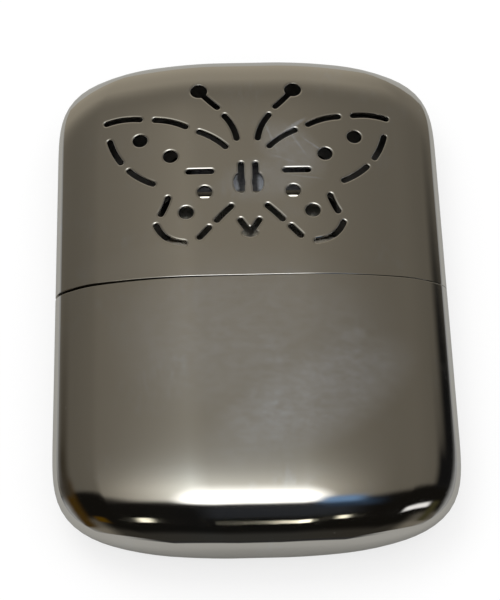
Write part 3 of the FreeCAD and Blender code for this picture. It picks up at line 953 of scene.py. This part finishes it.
WADDING_STEP = 1.0  # the least from the wadding's top to its next row
WADDING_LIFT = 0.8  # share of their height that the wadding's lumps rise and sink
BLOCK_EASE = 0.02  # a block keeps this far inside its node's box, before the tufts move its surface
BLOCK_WAVES, WADDING_WAVES = (1.3, 3.1), (0.45, 1.5)  # of the lumps, coarse and fine, per mm
CORNER_STEPS = 3  # round a block's edge
RISE_STEP = 1.0  # between a block's rows
CAP_INSETS = (0.62, 0.85, 0.97)  # rows on a block's ends, as shares of its radius


def seed_shift(seed):
    """Return where a piece's noise starts."""
    return Vector((seed, 0.37 * seed, 0))


def oval_block(node, corner, nap, seed, name):
    """Return a soft oval block in a node's place, with rounded edges and a lumpy surface."""
    low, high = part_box(node)
    half_width, radius = (high.x - low.x) / MM / 2 - BLOCK_EASE, (high.z - low.z) / MM / 2 - BLOCK_EASE
    low, high = low.y / MM + BLOCK_EASE, high.y / MM - BLOCK_EASE
    levels = [(corner * (1 - math.cos(angle)), corner * (1 - math.sin(angle)))
              for angle in (QUARTER * step / CORNER_STEPS for step in range(CORNER_STEPS + 1))]
    caps = [radius * share for share in CAP_INSETS]
    run = high - low - 2 * corner
    rise = max(2, round(run / RISE_STEP))
    profile = [(inset, low) for inset in reversed(caps)]
    profile += [(inset, low + up) for inset, up in reversed(levels)]
    profile += [(0.0, low + corner + run * step / rise) for step in range(1, rise)]
    profile += [(inset, high - up) for inset, up in levels]
    profile += [(inset, high) for inset in caps]
    middle = settings(bpy.context)[0].thick / MM / 2
    rows, shift = [], seed_shift(seed)
    for inset, y in profile:
        rows.append([])
        for x, z, way in oval_ring((half_width - inset, radius - inset), *BLOCK_STEPS):
            place = Vector((x, y, middle + z))
            away = way if inset < radius * 0.5 else Vector((0, 1, 0))
            raised = lift(*(place * waves + shift for waves in BLOCK_WAVES))
            rows[-1].append(place - away * nap * (0.5 - 0.5 * raised))
    return soft_piece(rows, name)


def wadding(node, lump, seed, name):
    """Return the cotton that fills the tank up to its node's top, lumpy but clear of the tank's sheet."""
    form = CaseForm(settings(bpy.context)[0])
    low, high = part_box(node)
    top, section, rows = high.y / MM - lump, form.section(), []
    for y in (top, *[y for y in form.rows(-1) if low.y / MM + lump < y < top - WADDING_STEP]):
        rows.append([])
        for place, out in section:
            point, normal = form.skin(place, out, y, form.wall + lump)
            raised = lift(*((point + seed_shift(seed)) * waves for waves in WADDING_WAVES))
            rows[-1].append(point + normal * lump * raised * WADDING_LIFT)
    return soft_piece(rows, name)


# A pale patch of painted light on the catalyst, from the vents: across from the middle, along, and its
# colour.
CATALYST_LIGHT_PATCH = ((1.75, 3.4), (20.3, 23.4), (0.78, 0.82, 0.88))


class FibreOperator(bpy.types.Operator):
    """Build the catalyst, its core, the wick felt and the wadding"""
    bl_idname = "warmer.fibre"
    bl_label = "Fibre"

    def execute(self, context):
        _, _, burner, tones = settings(context)
        nap, lump = burner.nap / MM, burner.lump / MM
        rows = (
            (oval_block, "catalyst_mat", (1.2, nap, 3.0), "fluffed_mat", "burner", "catalyst_fibre",
             tones.catalyst, (0.05, 0.05, 0.06), CATALYST_LIGHT_PATCH),
            (oval_block, "fibre_core", (0.6, nap, 5.0), "fibre_filling", "burner", "glass_fibre",
             tones.glass, (0.5, 0.5, 0.48), None),
            (oval_block, "wick_felt", (0.5, nap, 7.0), "felt_plug", "tank", "felt",
             tones.felt, (0.42, 0.40, 0.35), None),
            (wadding, "cotton_wadding", (lump, 9.0), "cotton_fill", "tank", "cotton",
             tones.cotton, (0.6, 0.59, 0.55), None))
        for build, node, sizes, name, body, slot, tone, shade, light_patch in rows:
            piece = build(node, *sizes, name)
            place_piece(piece, body, slot, (loose_fibre(slot, tuple(tone), shade, light_patch),), node)
        return {"FINISHED"}


# ---- stage
# A level is how bright a part of the room looks in the plating, where 1 is white.
DISPLAY_POWER = 2.2
PLATING_SHARE = 0.6  # how much light the plating gives back
DARK_LEVEL, WALL_RISE, UPPER_RISE, HORIZON_RISE = 0.085, 0.25, 0.14, 0.06
SIDE_DROP, CORNER_RISE, REAR_RISE = 0.025, 0.20, 0.09
GLOW_MIDDLE, GLOW_REACH, GLOW_POWER, GLOW_NEAR, GLOW_FAR = -0.045, 0.29, 1.4, 0.48, 0.10
SIDE_LEVEL = 0.53
LAMP_LIGHT = (2.9, 2.9, 2.813)  # the lamp's own colour, which isn't a level
WALL_TINT = (1.10, 1.0, 0.81)
GLOW_TINT = (1.05, 1.07, 1.0)
SIDE_TINT = (0.98, 1.0, 1.0)
WHITE, WARM, BLUE = (1.0, 1.0, 1.0), (1.05, 1.0, 0.8), (0.55, 0.95, 1.6)
# Patches of the room, on a disc of radius 1: from and to across, from and to ahead, softness, level
# and tint.
ROOM_PATCHES = (
    (-0.02, 0.17, -0.14, 0.05, 0.05, 0.165, (0.9, 1.0, 1.15)),
    (0.08, 0.21, -0.01, 0.07, 0.04, 0.22, BLUE),
    (0.07, 0.17, 0.04, 0.10, 0.025, 0.50, BLUE),
    (-0.76, -0.60, -0.60, 0.25, 0.05, 0.165, (2.0, 1.1, 0.2)),
    (0.60, 0.68, -0.60, -0.10, 0.04, 0.20, (1.2, 1.1, 0.5)),
    (0.54, 0.80, 0.10, 0.36, 0.05, 0.09, WHITE),
    (0.61, 0.80, 0.30, 0.47, 0.05, 0.09, WHITE),
    (-0.80, -0.62, 0.10, 0.41, 0.05, 0.19, (1.2, 1.0, 0.7)),
    (0.33, 0.58, -0.20, -0.11, 0.03, 0.88, WHITE),
    (-0.212, -0.180, -0.262, -0.17, 0.012, 1.1, WARM),
    (0.022, 0.062, -0.285, -0.210, 0.003, 1.3, WARM),
    (0.132, 0.158, -0.24, -0.17, 0.010, 1.1, WARM),
    (-0.53, -0.42, -0.40, -0.26, 0.04, 0.20, (1.9, 1.0, 0.05)),
)


def toned(level, tint):
    """Return a plain colour of the room at a level."""
    return tuple(part * level ** DISPLAY_POWER / PLATING_SHARE for part in tint)


def wall_light(shader, across, ahead):
    """Return the colour of the warm wall ahead and its glow, and of the dark overhead and behind."""
    sideways = across.maths("ABSOLUTE")
    edge = ahead + sideways.step(0.32, 0.18) * 0.06
    wall = edge.step(0.10, 0.17)
    upper = ahead.step(0.48, 0.64) * (1.0 - across.step(0.1, 0.45) * 0.7)
    corners = sideways.step(0.40, 0.56) * ahead.step(-0.22, -0.42)
    level = wall * WALL_RISE + DARK_LEVEL + upper * UPPER_RISE + ahead.step(0.6, 1.0) * HORIZON_RISE
    level = level - sideways.step(0.25, 0.6) * wall * ahead.step(0.6, 0.4) * SIDE_DROP
    level = level + corners * CORNER_RISE + ahead.step(-0.45, -0.70) * REAR_RISE

    glow = 1.0 - (across - GLOW_MIDDLE).maths("ABSOLUTE") / GLOW_REACH
    glow = glow.maths("MAXIMUM", 0.0) ** GLOW_POWER
    fade = ahead.step(0.345, 0.15) * GLOW_NEAR + ahead.step(0.56, 0.36) * GLOW_FAR
    level = level + glow * fade * ahead.step(0.03, 0.09)
    tint = shader.mix(glow * ahead.step(0.38, 0.24), WALL_TINT, GLOW_TINT)
    return shader.node("ShaderNodeVectorMath", {"operation": "SCALE"},
                       {"Vector": tint, "Scale": level ** DISPLAY_POWER / PLATING_SHARE})


def lamp_share(across, ahead):
    """Return how far the lamp shows: a dome whose straight side is nearest the disc's middle."""
    dome = (across / 0.09) ** 2.0 + ((ahead - 0.085) / 0.095) ** 2.0
    return dome.step(1.7, 0.0) ** 1.25 * ahead.step(0.045, 0.07)


def side_share(across, ahead):
    """Return how far the pale sides show, with a hollow in the left one."""
    slant = (ahead + 0.55).maths("MINIMUM", 0.0) * 0.5
    sides = (across - slant).step(0.71, 0.79) + (across + slant).step(-0.68, -0.78)
    hollow = across.between(-1.0, -0.6, 0.10) * ahead.between(0.05, 0.34, 0.14) * 0.85
    return sides * (1.0 - hollow)


def room_light(world):
    """Light the scene plainly, and give bright metal a plain room to mirror.

    The room is drawn over the sky as a disc: its middle is straight up, its rim the horizon, and
    ahead is +Y. A warm wall stands ahead, with a lamp at its edge nearest the middle. What lies
    overhead and behind is dark, and both sides are pale.
    """
    world.use_nodes = True
    shader = Shader(world.node_tree)
    x, y, z = shader.axes("XYZ", "Generated")
    lean = z.maths("ARCCOSINE") / QUARTER
    flat = (x * x + y * y).maths("SQRT") + 1e-5  # never 0, not even straight up
    across, ahead = x / flat * lean, y / flat * lean
    colour = shader.mix(lamp_share(across, ahead), wall_light(shader, across, ahead), LAMP_LIGHT)
    for low_x, high_x, low_y, high_y, soft, level, tint in ROOM_PATCHES:
        share = across.between(low_x, high_x, soft) * ahead.between(low_y, high_y, soft)
        colour = shader.mix(share, colour, toned(level, tint))
    colour = shader.mix(side_share(across, ahead), colour, toned(SIDE_LEVEL, SIDE_TINT))
    rays = shader.node("ShaderNodeLightPath", output="Is Glossy Ray")
    background = shader.node("ShaderNodeBackground", {},
                             {"Color": shader.mix(rays, WHITE, colour), "Strength": 1.0})
    shader.node("ShaderNodeOutputWorld", {}, {"Surface": background})


FLOOR_REACH = 1.5
# The last of these is the tone of painted shade on the floor, which only the plating mirrors.
FLOOR_WHITE, FLOOR_GREY, FLOOR_SHADE = (0.95, 0.95, 0.95), (0.44, 0.44, 0.42), (0.03, 0.03, 0.03)
FLOOR_GLOW = 0.7  # how far the floor is plain white to the camera


def white_floor():
    """Return a floor that is pale to the camera and grey in the plating, with a wedge of painted shade in
    front.
    """
    mesh = bpy.data.meshes.new("floor")
    corners = [(x * FLOOR_REACH, y * FLOOR_REACH, 0) for x, y in ((-1, -1), (1, -1), (1, 1), (-1, 1))]
    mesh.from_pydata(corners, [], [(0, 1, 2, 3)])
    material, shader = new_material("floor_white")
    seen, glossy = shader.outputs(("Is Camera Ray", "Is Glossy Ray"), "ShaderNodeLightPath")
    x, y = (axis / MM for axis in shader.axes("XY"))
    # A wedge of painted shade on the floor in front, seen only in the plating's reflection.
    shade_wedge = y.step(-80.0, -105.0) * (x / y).maths("ABSOLUTE").step(0.50, 0.22) * glossy
    tone = shader.mix(shade_wedge, shader.mix(glossy, FLOOR_WHITE, FLOOR_GREY), FLOOR_SHADE)
    lit = shader.node("ShaderNodeBsdfDiffuse", {}, {"Color": tone})
    bright = shader.node("ShaderNodeEmission", {}, {"Color": (*WHITE, 1.0), "Strength": 1.0})
    surface = shader.node("ShaderNodeMixShader", {}, {0: seen * FLOOR_GLOW, 1: lit, 2: bright})
    shader.node("ShaderNodeOutputMaterial", {}, {"Surface": surface})
    mesh.materials.append(material)
    return new_object(mesh)


SOFTBOX_PLACE, SOFTBOX_SIZE, SOFTBOX_POWER = (-0.25, 0.35, 0.75), 0.5, 1.6
SOFTBOX_TURN = (-25, -18)  # degrees round X and Y
CAMERA_AIM, CAMERA_DISTANCE, CAMERA_LENS = (-0.000139, 0.003291, 0.0), 0.4020, 138.41
CAMERA_AZIMUTH, CAMERA_ELEVATION, CAMERA_ROLL = -1.955, 58.01, 0.477  # degrees


def turned(degrees, axis):
    """Return the matrix of a turn round an axis."""
    return Matrix.Rotation(math.radians(degrees), 4, axis)


def new_softbox():
    """Return a soft lamp from one side, which bright metal doesn't mirror."""
    lamp = bpy.data.lights.new("softbox", "AREA")
    lamp.size, lamp.energy = SOFTBOX_SIZE, SOFTBOX_POWER
    lean, tip = SOFTBOX_TURN
    softbox = new_object(lamp, Matrix.Translation(SOFTBOX_PLACE) @ turned(lean, "X") @ turned(tip, "Y"))
    softbox.visible_glossy = False
    return softbox


def new_camera():
    """Return the camera, as far back from its aim as its distance."""
    view = bpy.data.cameras.new("camera")
    view.lens, view.sensor_width, view.clip_start = CAMERA_LENS, 36.0, 0.01
    turn = turned(CAMERA_AZIMUTH, "Z") @ turned(90 - CAMERA_ELEVATION, "X") @ turned(CAMERA_ROLL, "Z")
    back = Matrix.Translation((0, 0, CAMERA_DISTANCE))
    return new_object(view, Matrix.Translation(CAMERA_AIM) @ turn @ back)


class StageOperator(bpy.types.Operator):
    """Set the floor, the light and the camera"""
    bl_idname = "warmer.stage"
    bl_label = "Stage"

    def execute(self, context):
        scene = context.scene
        floor = white_floor()
        scene.world = bpy.data.worlds.new("studio")
        room_light(scene.world)
        scene.world.cycles.sampling_method = "NONE"
        new_softbox()
        scene.camera = new_camera()
        scene.view_settings.view_transform = "Standard"
        return {"FINISHED"}


class WarmerPanel(bpy.types.Panel):
    """Lists the steps in the sidebar"""
    bl_idname = "VIEW3D_PT_warmer"
    bl_label = "Hand Warmer"
    bl_space_type = "VIEW_3D"
    bl_region_type = "UI"
    bl_category = "Hand Warmer"

    def draw(self, context):
        for step in STEPS:
            self.layout.operator(step.bl_idname)
        for group in settings(context):
            box = self.layout.box()
            for name in group.bl_rna.properties.keys():
                if name not in ("rna_type", "name"):
                    box.prop(group, name)


STEPS = (CaseOperator, CollarOperator, BurnerOperator, FibreOperator, StageOperator)
GROUPS = {"warmer_case": WarmerCase, "warmer_vents": WarmerVents, "warmer_burner": WarmerBurner,
          "warmer_finish": WarmerFinish}


def register():
    for group in GROUPS.values():
        bpy.utils.register_class(group)
    for name, group in GROUPS.items():
        setattr(bpy.types.Scene, name, PointerProperty(type=group))
    for made in STEPS + (WarmerPanel,):
        bpy.utils.register_class(made)


def unregister():
    for made in (WarmerPanel,) + STEPS[::-1]:
        bpy.utils.unregister_class(made)
    for name in GROUPS:
        delattr(bpy.types.Scene, name)
    for group in reversed(GROUPS.values()):
        bpy.utils.unregister_class(group)


def main():
    register()
    for step in STEPS:
        group, name = step.bl_idname.split(".")
        getattr(getattr(bpy.ops, group), name)()


if __name__ == "__main__":
    main()
